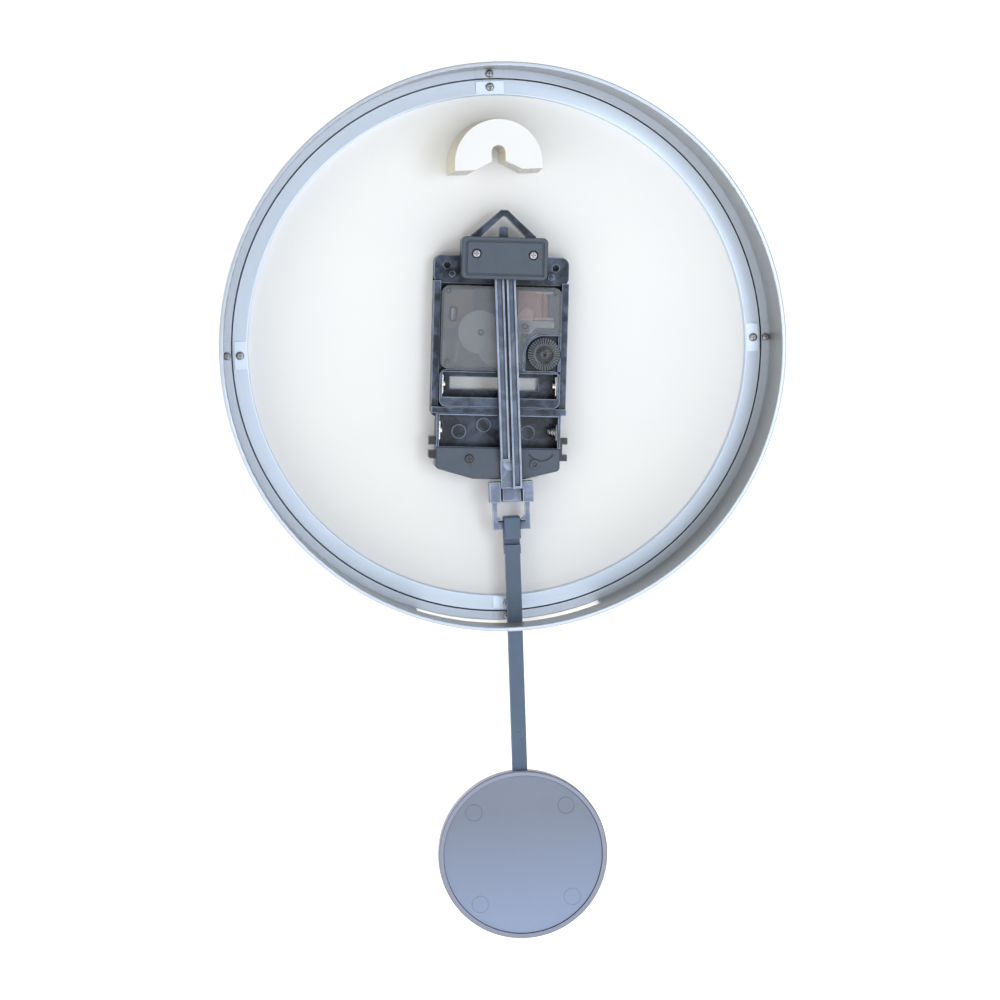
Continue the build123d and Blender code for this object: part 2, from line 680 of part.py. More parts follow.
with BuildPart() as coil_bobbin:
    bobbin_plane = Plane(
        movement_plane(COIL_Y).from_local_coords((COIL_X, 13.0, 0)),
        x_dir=movement_plane(0).x_dir,
        z_dir=movement_plane(0).y_dir,
    )
    with BuildSketch(bobbin_plane, bobbin_plane.offset(12.0)):
        Rectangle(8.0, 6.4)
    extrude(amount=1.0)
    with BuildSketch(bobbin_plane):
        Circle(1.4)
    extrude(amount=13.0)
save(coil_bobbin, "coil_bobbin")

with BuildPart() as coil_winding:
    with BuildSketch(bobbin_plane.offset(1.0)):
        Circle(2.7)
        Circle(1.4, mode=Mode.SUBTRACT)
    extrude(amount=11.0)
save(coil_winding, "coil_winding")

with BuildPart() as circuit_board:
    slab(movement_plane, -32.9, -31.9, (-26.0, -12.4, 8.0, 26.0))
save(circuit_board, "circuit_board")

with BuildPart() as quartz_can:
    with BuildSketch(
        Plane(
            movement_plane(-30.3).from_local_coords((-22.4, 11.5, 0)),
            x_dir=movement_plane(0).x_dir,
            z_dir=movement_plane(0).y_dir,
        )
    ):
        Circle(1.5)
    extrude(amount=6.5)
save(quartz_can, "quartz_can")


def contact(label, x, bottom, top, low, high, thick=0.5):
    """Upright contact strip at the end of a battery bay, with a pressed dimple."""
    with BuildPart() as strip:
        slab(movement_plane, low, high, (min(x, x + thick), max(x, x + thick), bottom, top))
        middle = (bottom + top) / 2
        side = -1 if x > 0 else 1
        with BuildSketch(
            Plane(
                movement_plane((low + high) / 2).from_local_coords((x + (thick if side > 0 else 0), middle, 0)),
                x_dir=movement_plane(0).y_dir,
                z_dir=movement_plane(0).x_dir * side,
            )
        ):
            Circle(2.2)
        extrude(amount=1.0)
    save(strip, label)


contact("clock_contact_positive", BOX_HALF - WALL - 0.55, -22.0, -13.5, -32.0, -23.0)
contact("clock_contact_negative", WALL - BOX_HALF + 0.05, -22.0, -13.5, -32.0, -23.0)

# ---------------------------------------------------------------- pendulum drive

with BuildPart() as drive_housing:
    extrude(drive_outline(PLATE_BACK, DRIVE_TOP), amount=-22.0 - PLATE_BACK)
    slab(movement_plane, -22.0, BAY_RIM, (-DRIVE_HALF, DRIVE_HALF, DRIVE_SPLIT - 0.1, DRIVE_TOP))
    slab(
        movement_plane, HOUSING_FLOOR, BAY_RIM,
        (WALL - DRIVE_HALF, DRIVE_HALF - WALL, DRIVE_SPLIT, DRIVE_TOP - 0.5),
        mode=Mode.SUBTRACT,
    )
    extrude(drive_outline(HOUSING_FLOOR, DRIVE_SPLIT - WALL, WALL), amount=12, mode=Mode.SUBTRACT)
    # moulded rings on the bay's floor
    with BuildSketch(movement_plane(HOUSING_FLOOR)):
        with Locations((-17.6, -40.1), (14.7, -40.1), (-6.0, -36.8)):
            Circle(3.5)
            Circle(2.9, mode=Mode.SUBTRACT)
    extrude(amount=0.4)
    rod_between(movement_plane, HOUSING_FLOOR, -22.0, 2.0, (-13.4, -52.0))
    rod_between(movement_plane, -30.0, -22.0, 0.85, (-13.4, -52.0), mode=Mode.SUBTRACT)
save(drive_housing, "drive_housing")

with BuildPart() as drive_cover:
    extrude(drive_outline(-22.0, DRIVE_SPLIT - 0.2), amount=COVER_BACK + 22.0)
    fillet(drive_cover.edges().group_by(Axis.Y)[-1], 0.5)
    rod_between(movement_plane, -22.0, COVER_BACK, 0.9, (-13.4, -52.0), mode=Mode.SUBTRACT)
    rod_between(movement_plane, COVER_BACK, COVER_BACK + 0.5, 2.3, (17.0, -54.0))
    rod_between(movement_plane, COVER_BACK, COVER_BACK + 0.5, 1.1, (17.0, -54.0), mode=Mode.SUBTRACT)
    # curved groove beside the boss
    with BuildSketch(movement_plane(COVER_BACK)):
        with Locations((20.0, -45.5)):
            Circle(7.1)
            Circle(6.5, mode=Mode.SUBTRACT)
        with Locations((20.0, -51.4)):
            Rectangle(14, 4.2, mode=Mode.INTERSECT)
    extrude(amount=-0.4, mode=Mode.SUBTRACT)
save(drive_cover, "drive_cover")

pan_screws(
    "drive_cover_screw", movement_plane, [(-13.4, -52.0)], COVER_BACK, 7.0,
    head_r=2.0, head=0.8, shank_r=0.8,
)

with BuildPart() as drive_bobbin:
    rod_between(movement_plane, -31.8, -31.0, 5.7, (0, -54.0))
    rod_between(movement_plane, -23.4, -22.6, 5.7, (0, -54.0))
    rod_between(movement_plane, -31.8, -22.6, 2.6, (0, -54.0))
    rod_between(movement_plane, -31.8, -22.6, 1.5, (0, -54.0), mode=Mode.SUBTRACT)
save(drive_bobbin, "drive_bobbin")

with BuildPart() as drive_winding:
    rod_between(movement_plane, -31.0, -23.4, 5.3, (0, -54.0))
    rod_between(movement_plane, -31.0, -23.4, 2.6, (0, -54.0), mode=Mode.SUBTRACT)
save(drive_winding, "drive_winding")

with BuildPart() as drive_board:
    slab(movement_plane, HOUSING_FLOOR, -31.9, (8.0, 25.0, -54.5, -48.6), (-10.4, 8.0, -59.9, -48.6))
save(drive_board, "drive_board")

contact("drive_contact_positive", WALL - DRIVE_HALF + 0.05, -43.5, -35.0, -32.0, -23.0)

# Conical spring of the drive bay's negative end, as stacked rings on a strip
with BuildPart() as drive_contact_negative:
    spring_x = DRIVE_HALF - WALL - 0.55
    slab(movement_plane, -32.0, -23.0, (spring_x, spring_x + 0.5, -43.5, -35.0))
    spring_plane = Plane(
        movement_plane(-27.5).from_local_coords((spring_x, -39.2, 0)),
        x_dir=movement_plane(0).y_dir,
        z_dir=-movement_plane(0).x_dir,
    )
    for turn, radius in enumerate((3.2, 2.7, 2.2, 1.7)):
        with BuildSketch(spring_plane.offset(turn * 0.9)):
            Circle(radius)
            Circle(radius - 0.5, mode=Mode.SUBTRACT)
        extrude(amount=0.6)
    with BuildSketch(spring_plane):
        with Locations((0, 1.45), (0, -1.45)):
            Rectangle(0.6, 0.6)
        with Locations((0, 2.6), (0, -2.6)):
            Rectangle(0.6, 1.2)
    extrude(amount=3.3)
save(drive_contact_negative, "drive_contact_negative")

with BuildPart() as latch_knobs:
    slab(
        movement_plane, -27.0, -23.0,
        (-DRIVE_HALF - 3.4, -DRIVE_HALF, -46.0, -42.0),
        (-DRIVE_HALF - 3.4, -DRIVE_HALF, -52.4, -48.4),
    )
    fillet(latch_knobs.edges().filter_by(Axis.Y).group_by(Axis.X)[-1], 1.2)
save(latch_knobs, "latch_knobs")

with BuildPart() as latch_clip:
    slab(
        movement_plane, -28.0, -22.5,
        (DRIVE_HALF, DRIVE_HALF + 1.2, -52.4, -41.6),
        (DRIVE_HALF, DRIVE_HALF + 3.6, -44.6, -41.6),
        (DRIVE_HALF, DRIVE_HALF + 3.6, -52.4, -49.4),
    )
save(latch_clip, "latch_clip")

# ---------------------------------------------------------------- suspension

BOX_HALF_WIDTH = 19.8
BOX_BOTTOM = 31.3
BOX_TOP = 50.7
COVER_SEAT = -14.4

with BuildPart() as suspension_box:
    with BuildSketch(movement_plane(DECK_BACK)):
        with Locations((0, (BOX_BOTTOM + BOX_TOP) / 2)):
            RectangleRounded(2 * BOX_HALF_WIDTH, BOX_TOP - BOX_BOTTOM, 2.4)
    extrude(amount=COVER_SEAT - DECK_BACK)
    slab(movement_plane, -21.0, COVER_SEAT, (-9.6, 9.6, BOX_BOTTOM - 1, 46.6), mode=Mode.SUBTRACT)
    rod_between(movement_plane, -25.0, COVER_SEAT, 1.0, (0, PIVOT_ABOVE_SHAFT), mode=Mode.SUBTRACT)
    with BuildSketch(movement_plane(COVER_SEAT)):
        with Locations((-13.1, 42.9), (13.1, 42.7)):
            Circle(0.85)
    extrude(amount=-8, mode=Mode.SUBTRACT)
    # triangular loop and its post on top
    with BuildSketch(movement_plane(-25.0)):
        with BuildLine():
            Polyline(
                (-15, BOX_TOP - 1), (-15, 51.4), (-1.5, 63.4), (1.5, 63.4), (15, 51.4), (15, BOX_TOP - 1),
                close=True,
            )
        make_face()
        with BuildLine():
            Polyline((-10.6, BOX_TOP), (-0.6, 60.2), (0.6, 60.2), (10.6, BOX_TOP), close=True)
        make_face(mode=Mode.SUBTRACT)
        with Locations((0, 53.2)):
            RectangleRounded(4.3, 5.0, 1.2)
        with Locations((0, 51.2)):
            Rectangle(4.3, 3.0)
    extrude(amount=3.2)
save(suspension_box, "suspension_box")

with BuildPart() as suspension_cover:
    with BuildSketch(movement_plane(COVER_SEAT)):
        with Locations((0, (BOX_BOTTOM + BOX_TOP) / 2)):
            RectangleRounded(2 * BOX_HALF_WIDTH, BOX_TOP - BOX_BOTTOM, 2.4)
    extrude(amount=BOX_BACK - COVER_SEAT)
    fillet(suspension_cover.edges().group_by(Axis.Y)[-1], 0.4)
    with BuildSketch(movement_plane(BOX_BACK)):
        with Locations((0, (BOX_BOTTOM + BOX_TOP) / 2)):
            RectangleRounded(2 * BOX_HALF_WIDTH - 3.4, BOX_TOP - BOX_BOTTOM - 3.4, 1.2)
            RectangleRounded(2 * BOX_HALF_WIDTH - 5.0, BOX_TOP - BOX_BOTTOM - 5.0, 0.9, mode=Mode.SUBTRACT)
    extrude(amount=-0.4, mode=Mode.SUBTRACT)
    with BuildSketch(movement_plane(BOX_BACK)):
        with Locations((-13.1, 42.9), (13.1, 42.7)):
            Circle(2.2)
    extrude(amount=-1.0, mode=Mode.SUBTRACT)
    with BuildSketch(movement_plane(BOX_BACK)):
        with Locations((-13.1, 42.9), (13.1, 42.7)):
            Circle(0.9)
    extrude(amount=-3, mode=Mode.SUBTRACT)
    rod_between(movement_plane, COVER_SEAT, -13.4, 1.0, (0, PIVOT_ABOVE_SHAFT), mode=Mode.SUBTRACT)
save(suspension_cover, "suspension_cover")

pan_screws(
    "suspension_screws", movement_plane, [(-13.1, 42.9), (13.1, 42.7)], BOX_BACK - 1.0, 8.0,
    head_r=1.9, head=1.1, shank_r=0.8,
)

with BuildPart() as pivot_pin:
    rod_between(movement_plane, -25.0, -13.4, 1.0, (0, PIVOT_ABOVE_SHAFT))
save(pivot_pin, "pivot_pin")

# ---------------------------------------------------------------- pendulum

with BuildPart() as lever:
    with BuildSketch(pendulum_plane(LEVER_FRONT)):
        Circle(3.6)
        with Locations((0, LEVER_END / 2)):
            Rectangle(2 * LEVER_HALF, -LEVER_END)
    extrude(amount=1.6)
    with BuildSketch(pendulum_plane(LEVER_FRONT + 1.6)):
        Circle(3.6)
        for left, right, end in ((-LEVER_HALF, -0.6, LEFT_RIB_END), (0.6, LEVER_HALF, LEVER_END)):
            with Locations(((left + right) / 2, end / 2)):
                Rectangle(right - left, -end)
    extrude(amount=LEVER_BACK - LEVER_FRONT - 1.6)
    # shallow channel along each rib
    with BuildSketch(pendulum_plane(LEVER_BACK)):
        for left, right, end in ((-LEVER_HALF, -0.6, LEFT_RIB_END), (0.6, LEVER_HALF, LEVER_END)):
            with Locations(((left + right) / 2, (end - 6) / 2)):
                Rectangle(right - left - 1.6, -end - 8)
    extrude(amount=-1.6, mode=Mode.SUBTRACT)
    rod_between(pendulum_plane, LEVER_FRONT, LEVER_BACK, 1.05, mode=Mode.SUBTRACT)
    # pocket for the drive magnet
    rod_between(pendulum_plane, LEVER_FRONT, LEVER_FRONT + 1.2, 3.5, (0, -94.6), mode=Mode.SUBTRACT)
save(lever, "lever")

with BuildPart() as lever_magnet:
    rod_between(pendulum_plane, LEVER_FRONT, LEVER_FRONT + 1.2, 3.5, (0, -94.6))
save(lever_magnet, "lever_magnet")

with BuildPart() as stirrup:
    slab(pendulum_plane, ROD_FRONT, ROD_BACK, (-10.2, 10.2, BLOCK_BOTTOM, BLOCK_TOP))
    slab(
        pendulum_plane, ROD_BACK, -17.6,
        (-10.2, -5.2, BLOCK_BOTTOM, BLOCK_TOP), (5.2, 10.2, BLOCK_BOTTOM, BLOCK_TOP),
    )
    slab(pendulum_plane, ROD_BACK, LEVER_FRONT, (-4.0, 4.4, BLOCK_BOTTOM + 0.7, BLOCK_TOP + 0.1))
    slab(
        pendulum_plane, ROD_FRONT, ROD_BACK,
        (-8.7, -6.5, STIRRUP_BOTTOM, BLOCK_BOTTOM), (6.5, 8.7, STIRRUP_BOTTOM, BLOCK_BOTTOM),
        (-8.7, 8.7, STIRRUP_BOTTOM, HOOK_AXIS),
    )
    # round top of the bar, on which the hook turns
    bar_end = Plane(
        pendulum_plane(-24.0).from_local_coords((8.0, HOOK_AXIS, 0)), x_dir=(0, 1, 0), z_dir=(1, 0, 0)
    )
    with BuildSketch(bar_end):
        Circle(1.4)
    extrude(amount=16.0)
    with BuildSketch(pendulum_plane(ROD_FRONT)):
        for side in (-1, 1):
            with BuildLine():
                Polyline(
                    (side * 6.6, WINDOW_BOTTOM + 2.4), (side * 6.6, WINDOW_BOTTOM - 0.1),
                    (side * 4.3, WINDOW_BOTTOM - 0.1), close=True,
                )
            make_face()
    extrude(amount=ROD_BACK - ROD_FRONT)
save(stirrup, "stirrup")

with BuildPart() as pendulum_rod:
    hook_section = Plane(pendulum_plane(0).from_local_coords((3.85, 0, 0)), x_dir=(0, 1, 0), z_dir=(1, 0, 0))
    with BuildSketch(hook_section) as hook_outline:
        # one side view: deep leg, crown over the bar, tongue, and the step into the rod
        with BuildLine():
            Polyline(
                (-25.8, HOOK_AXIS), (-25.8, ROD_TOP), (ROD_BACK, ROD_TOP), (ROD_BACK, ROD_TOP - 4),
                (ROD_FRONT, ROD_TOP - 4), (-28.0, ROD_TOP - 1.4), (-28.0, HOOK_TOP),
                (-20.0, HOOK_TOP), (-20.0, TONGUE_END), (-22.2, TONGUE_END), (-22.2, HOOK_AXIS),
            )
            ThreePointArc((-22.2, HOOK_AXIS), (-24.0, HOOK_AXIS + 1.8), (-25.8, HOOK_AXIS))
        make_face()
    extrude(amount=7.7)
    fillet(pendulum_rod.edges().filter_by(Axis.X).group_by(Axis.Z)[-1], 1.2)
    slab(
        pendulum_plane, ROD_FRONT, ROD_BACK,
        (-ROD_WIDTH / 2, ROD_WIDTH / 2, BOB_CENTRE + BOB_R - 9, ROD_TOP),
    )
    chamfer(pendulum_rod.edges().filter_by(Axis.Z).group_by(Axis.Y)[0], 0.4)
    with BuildSketch(pendulum_plane(ROD_BACK)):
        with Locations((0, -153.6), (0, -223.2)):
            Circle(2.4)
            Circle(2.1, mode=Mode.SUBTRACT)
    extrude(amount=-0.2, mode=Mode.SUBTRACT)
save(pendulum_rod, "pendulum_rod")

with BuildPart() as bob_shell:
    rod_between(pendulum_plane, BOB_FRONT, BOB_BACK, BOB_R, (0, BOB_CENTRE))
    fillet(bob_shell.edges().group_by(Axis.Y)[0], 3.0)
    fillet(bob_shell.edges().group_by(Axis.Y)[-1], 0.8)
    rod_between(pendulum_plane, -27.0, BOB_BACK, BOB_R - BOB_RIM, (0, BOB_CENTRE), mode=Mode.SUBTRACT)
    slab(
        pendulum_plane, ROD_FRONT, ROD_BACK,
        (-ROD_WIDTH / 2, ROD_WIDTH / 2, BOB_CENTRE + BOB_R - 6, BOB_CENTRE + BOB_R + 1),
        mode=Mode.SUBTRACT,
    )
save(bob_shell, "bob_shell")

with BuildPart() as bob_insert:
    rod_between(pendulum_plane, ROD_BACK, -20.7, BOB_R - BOB_RIM - 0.2, (0, BOB_CENTRE))
    # four ring marks of the mould's ejectors
    with BuildSketch(pendulum_plane(-20.7)):
        with Locations((0, BOB_CENTRE)):
            with PolarLocations(30.8, 4, start_angle=47):
                Circle(4.1)
                Circle(3.7, mode=Mode.SUBTRACT)
    extrude(amount=-0.2, mode=Mode.SUBTRACT)
save(bob_insert, "bob_insert")
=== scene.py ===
"""Looks of the pendulum wall clock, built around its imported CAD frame.

Metres, in the frame of the part: +Z up, the dial faces -Y, the wall is the plane y = 0 and the
origin is the top of the nail notch. The camera looks at the clock's back, as on a workbench.
"""
from math import cos, pi, radians, sin

import bmesh
import bpy
from mathutils import Matrix, Vector


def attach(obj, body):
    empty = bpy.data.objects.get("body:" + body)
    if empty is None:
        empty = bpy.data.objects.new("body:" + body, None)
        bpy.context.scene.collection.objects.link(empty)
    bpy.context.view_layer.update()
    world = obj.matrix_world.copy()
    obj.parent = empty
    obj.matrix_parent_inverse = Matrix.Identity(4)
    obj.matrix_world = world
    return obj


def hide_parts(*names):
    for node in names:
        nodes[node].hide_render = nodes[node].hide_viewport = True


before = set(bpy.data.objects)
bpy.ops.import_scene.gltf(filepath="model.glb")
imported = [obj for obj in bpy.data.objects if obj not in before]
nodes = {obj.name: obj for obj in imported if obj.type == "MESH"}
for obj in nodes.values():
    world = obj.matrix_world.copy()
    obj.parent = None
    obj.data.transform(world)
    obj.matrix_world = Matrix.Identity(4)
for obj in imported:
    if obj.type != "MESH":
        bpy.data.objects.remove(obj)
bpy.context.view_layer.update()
scene = bpy.context.scene

MM = 0.001
SHAFT = Vector((0, 0, -92.3)) * MM
MOVEMENT_TILT = radians(3.5)
SLOT_FACE = -33.2 * MM              # the pendulum slot's edge nearest the dial
COVER_TOP = -20.5                   # outer face of the movement's see-through cover, mm
CASE_METALLIC = 0.6


# ---------------------------------------------------------------- material tools

class Look:
    """A node material around one Principled shader, with short helpers for its procedural parts.
    Patterns run in object coordinates, which are metres in the part's own frame."""

    def __init__(self, name, colour, roughness, metallic=0.0, **values):
        self.material = bpy.data.materials.new(name)
        self.material.use_nodes = True
        self.tree = self.material.node_tree
        self.shader = self.tree.nodes["Principled BSDF"]
        self.place = self.tree.nodes.new("ShaderNodeTexCoord").outputs["Object"]
        self.colour = colour
        self.shader.inputs["Base Color"].default_value = (*colour, 1)
        self.shader.inputs["Roughness"].default_value = roughness
        self.shader.inputs["Metallic"].default_value = metallic
        for socket, value in values.items():
            self.shader.inputs[socket.replace("_", " ")].default_value = value
        self.colour_out = None
        self.normal_out = None

    def add(self, kind, **settings):
        node = self.tree.nodes.new(kind)
        for key, value in settings.items():
            setattr(node, key, value)
        return node

    def link(self, source, target):
        self.tree.links.new(source, target)

    def stretched(self, stretch):
        """Object coordinates scaled along each axis, for grain that runs one way."""
        mapping = self.add("ShaderNodeMapping")
        mapping.inputs["Scale"].default_value = stretch
        self.link(self.place, mapping.inputs["Vector"])
        return mapping.outputs["Vector"]

    def noise(self, size, detail=3.0, roughness=0.55, place=None, distortion=0.0):
        """Noise whose features are about size metres across, from 0 to 1."""
        node = self.add("ShaderNodeTexNoise")
        node.inputs["Scale"].default_value = 1 / size
        node.inputs["Detail"].default_value = detail
        node.inputs["Roughness"].default_value = roughness
        node.inputs["Distortion"].default_value = distortion
        self.link(place or self.place, node.inputs["Vector"])
        return node.outputs["Fac"]

    def cells(self, size, place=None):
        """Distance to the nearest speck, 0 at each speck's middle."""
        node = self.add("ShaderNodeTexVoronoi")
        node.inputs["Scale"].default_value = 1 / size
        self.link(place or self.place, node.inputs["Vector"])
        return node.outputs["Distance"]

    def spread(self, value, low, high, to_low=0.0, to_high=1.0):
        """Value stretched from low..high to to_low..to_high and cut off at both ends."""
        node = self.add("ShaderNodeMapRange")
        limits = {"From Min": low, "From Max": high, "To Min": to_low, "To Max": to_high}
        for socket, number in limits.items():
            node.inputs[socket].default_value = number
        self.link(value, node.inputs["Value"])
        return node.outputs["Result"]

    def maths(self, operation, first, second=0.0):
        """One step of arithmetic on two sockets or numbers."""
        node = self.add("ShaderNodeMath", operation=operation)
        for socket, value in zip(node.inputs, (first, second)):
            if isinstance(value, (int, float)):
                socket.default_value = value
            else:
                self.link(value, socket)
        return node.outputs["Value"]

    def tint(self, fac, colour):
        """Mix another colour over the material, by a factor from 0 to 1."""
        node = self.add("ShaderNodeMix", data_type="RGBA")
        self.link(fac, node.inputs["Factor"])
        if self.colour_out:
            self.link(self.colour_out, node.inputs[6])
        else:
            node.inputs[6].default_value = (*self.colour, 1)
        node.inputs[7].default_value = (*colour, 1)
        self.colour_out = node.outputs[2]
        self.link(self.colour_out, self.shader.inputs["Base Color"])

    def rough(self, fac, low, high):
        """Roughness from low to high, by a factor from 0 to 1."""
        self.link(self.spread(fac, 0, 1, low, high), self.shader.inputs["Roughness"])

    def bump(self, height, distance):
        """Relief of that depth in metres, added over any relief before it."""
        node = self.add("ShaderNodeBump")
        node.inputs["Strength"].default_value = 1.0
        node.inputs["Distance"].default_value = distance
        self.link(height, node.inputs["Height"])
        if self.normal_out:
            self.link(self.normal_out, node.inputs["Normal"])
        self.normal_out = node.outputs["Normal"]
        self.link(self.normal_out, self.shader.inputs["Normal"])

    def split(self, vector):
        """The X, Y and Z sockets of a vector."""
        node = self.add("ShaderNodeSeparateXYZ")
        self.link(vector, node.inputs["Vector"])
        return node.outputs

    def facing(self):
        """The X, Y and Z sockets of the surface's direction."""
        return self.split(self.add("ShaderNodeNewGeometry").outputs["Normal"])

    def corners(self, distance):
        """0 in the open, rising to 1 deep in a corner: the mask for painted shade in corners."""
        node = self.add("ShaderNodeAmbientOcclusion", samples=4)
        node.inputs["Distance"].default_value = distance
        return self.maths("SUBTRACT", 1.0, node.outputs["AO"])

    def edges(self, distance):
        """Near 0 on a flat face, rising along outer edges: the mask for wear and painted highlights there.
        """
        node = self.add("ShaderNodeAmbientOcclusion", samples=4, inside=True)
        node.inputs["Distance"].default_value = distance
        return self.maths("SUBTRACT", 1.0, node.outputs["AO"])


def plastic(name, colour, edge, roughness, grain=0.00035, relief=0.000012, depth=0.3, painted_sheen=None, **values):
    """Moulded plastic: fine spark-eroded grain, mottled flow marks with a painted highlight in the sheen
    colour, edges tinted to the edge colour as wear and a painted highlight, and painted shade in
    corners, as strong as that depth."""
    look = Look(name, colour, roughness, **values)
    # mottled flow marks, tinted lighter as a painted highlight (in the sheen colour where one is given)
    flow_and_sheen = look.noise(0.011, detail=2.5, distortion=1.2)
    if painted_sheen:
        look.tint(look.spread(flow_and_sheen, 0.42, 0.66, 0.0, 0.8), painted_sheen)
    else:
        look.tint(look.spread(flow_and_sheen, 0.35, 0.75, 0.0, 0.2), [c * 1.5 for c in colour])
    # edges tinted to the edge colour: wear, and a painted highlight along them (a painted dark outline
    # where the edge colour is dark)
    edge_wear_and_painted_light = look.maths("MULTIPLY", look.edges(0.0005), look.spread(look.noise(0.006), 0.2, 0.6, 0.4, 1.0))
    look.tint(look.spread(edge_wear_and_painted_light, 0.06, 0.4, 0.0, 0.8), edge)
    # painted shade: corners and crevices darkened towards black, as strong as depth
    look.tint(look.spread(look.corners(0.0035), 0.18, 0.62, 0.0, depth), [c * 0.12 for c in colour])
    look.rough(look.noise(0.004, detail=4.0), roughness - 0.09, roughness + 0.12)
    look.bump(look.noise(grain, detail=2.0), relief)
    return look


def painted_silver(name, colour, roughness, metallic):
    """Metallic paint on moulded plastic: fine flakes, soft waviness, a few scuffed spots, painted shade in
    seams.
    """
    look = Look(name, colour, roughness, metallic=metallic, Coat_Weight=0.1, Coat_Roughness=0.3)
    look.tint(look.spread(look.cells(0.00022), 0.0, 0.6, 0.14, 0.0), [min(1, c * 1.25) for c in colour])
    look.tint(look.spread(look.noise(0.05, detail=1.5), 0.4, 0.7, 0.0, 0.12), [c * 0.85 for c in colour])
    scuffs = look.noise(0.009, detail=6.0, roughness=0.7, place=look.stretched((1, 1, 0.3)))
    look.tint(look.spread(scuffs, 0.70, 0.85, 0.0, 0.2), [c * 0.7 for c in colour])
    # painted shade in seams and corners, nearly black
    look.tint(look.spread(look.corners(0.0022), 0.45, 0.9, 0.0, 0.9), [c * 0.06 for c in colour])
    look.rough(look.noise(0.02, detail=3.0), roughness - 0.04, roughness + 0.06)
    look.bump(look.noise(0.0012, detail=2.0), 0.000008)
    look.bump(look.noise(0.00016, detail=1.0), 0.000003)
    return look


def metal(name, colour, roughness, brushed=(1, 8, 1), stain=0.3, **values):
    """Bare metal: fine drawn lines along one axis, light tarnish, and painted shade in recesses."""
    look = Look(name, colour, roughness, metallic=1.0, **values)
    lines = look.noise(0.0004, detail=3.0, place=look.stretched(brushed))
    look.tint(look.spread(look.noise(0.003, detail=4.0), 0.45, 0.8, 0.0, stain), [c * 0.5 for c in colour])
    # painted shade in recesses
    look.tint(look.spread(look.corners(0.0012), 0.25, 0.8, 0.0, 0.85), [c * 0.15 for c in colour])
    look.rough(lines, roughness - 0.08, roughness + 0.15)
    look.bump(lines, 0.000012)
    return look


# ---------------------------------------------------------------- materials

def case_paint():
    """Silver paint, with painted shade making it greyer on the inside of the wall, and bare plastic on the
    slot's cut face, whitened as a painted highlight.
    """
    wall_r, wall_blend = 129.4 * MM, 0.4 * MM
    slot_top, slot_blend = -200 * MM, 5 * MM
    look = painted_silver("case_paint", (0.46, 0.51, 0.60), 0.36, CASE_METALLIC)
    spot = look.split(look.place)
    # painted shade: the inside of the wall darkened to flat grey, standing in for its dim, warm reflections
    wall = look.spread(look.maths("ABSOLUTE", look.facing()["Y"]), 0.6, 0.1)
    across = look.maths("MULTIPLY", spot["X"], spot["X"])
    drop = look.maths("SUBTRACT", spot["Z"], SHAFT.z)
    radius = look.maths("SQRT", look.maths("ADD", across, look.maths("MULTIPLY", drop, drop)))
    inside = look.spread(radius, wall_r, wall_r - wall_blend)
    look.tint(look.maths("MULTIPLY", wall, inside), (0.33, 0.33, 0.32))
    # the slot's cut face: bare plastic, non-metallic, and near-white as a painted highlight of its lit edge
    off_face = look.maths("ABSOLUTE", look.maths("SUBTRACT", spot["Y"], SLOT_FACE))
    at_slot = look.spread(spot["Z"], slot_top, slot_top - slot_blend)
    cut = look.maths("MULTIPLY", look.spread(off_face, 0.4 * MM, 0.2 * MM), at_slot)
    look.tint(cut, (0.95, 0.93, 0.88))
    look.link(look.spread(cut, 0, 1, CASE_METALLIC, 0.0), look.shader.inputs["Metallic"])
    return look


def bob_paint():
    """Blue-grey paint with painted light: a little lighter towards the bottom of the bob."""
    painted_light_from, painted_light_to = -310 * MM, -368 * MM
    look = painted_silver("bob_paint", (0.160, 0.182, 0.240), 0.34, 0.6)
    # painted light, growing towards the bottom of the bob
    look.tint(look.spread(look.split(look.place)["Z"], painted_light_from, painted_light_to), (0.235, 0.29, 0.43))
    return look


def lens_glass():
    look = Look("lens_glass", (0.97, 0.99, 0.985), 0.02, Transmission_Weight=1.0, IOR=1.5)
    smears = look.noise(0.02, detail=4.0, roughness=0.7)
    look.rough(look.spread(smears, 0.55, 0.8), 0.015, 0.09)
    return look


def white_dial():
    """White painted board with faint clouds and small blemishes."""
    look = Look("white_dial", (0.83, 0.84, 0.86), 0.55)
    look.tint(look.spread(look.noise(0.05, detail=2.0), 0.4, 0.7, 0.0, 0.35), (0.86, 0.855, 0.84))
    blemishes = look.noise(0.004, detail=5.0, roughness=0.7)
    look.tint(look.spread(blemishes, 0.62, 0.8, 0.0, 0.25), (0.74, 0.75, 0.77))
    look.rough(look.noise(0.003, detail=4.0), 0.45, 0.68)
    look.bump(look.noise(0.0006, detail=3.0), 0.00002)
    return look


def white_plastic():
    look = Look("white_plastic", (0.84, 0.85, 0.86), 0.32)
    look.tint(look.spread(look.noise(0.008, detail=3.0), 0.4, 0.75, 0.0, 0.3), (0.80, 0.79, 0.77))
    # painted shade in corners, brownish
    look.tint(look.spread(look.corners(0.003), 0.3, 1.0, 0.0, 0.35), (0.52, 0.47, 0.40))
    look.rough(look.noise(0.002, detail=4.0), 0.26, 0.46)
    look.bump(look.noise(0.0005, detail=2.0), 0.00003)
    return look


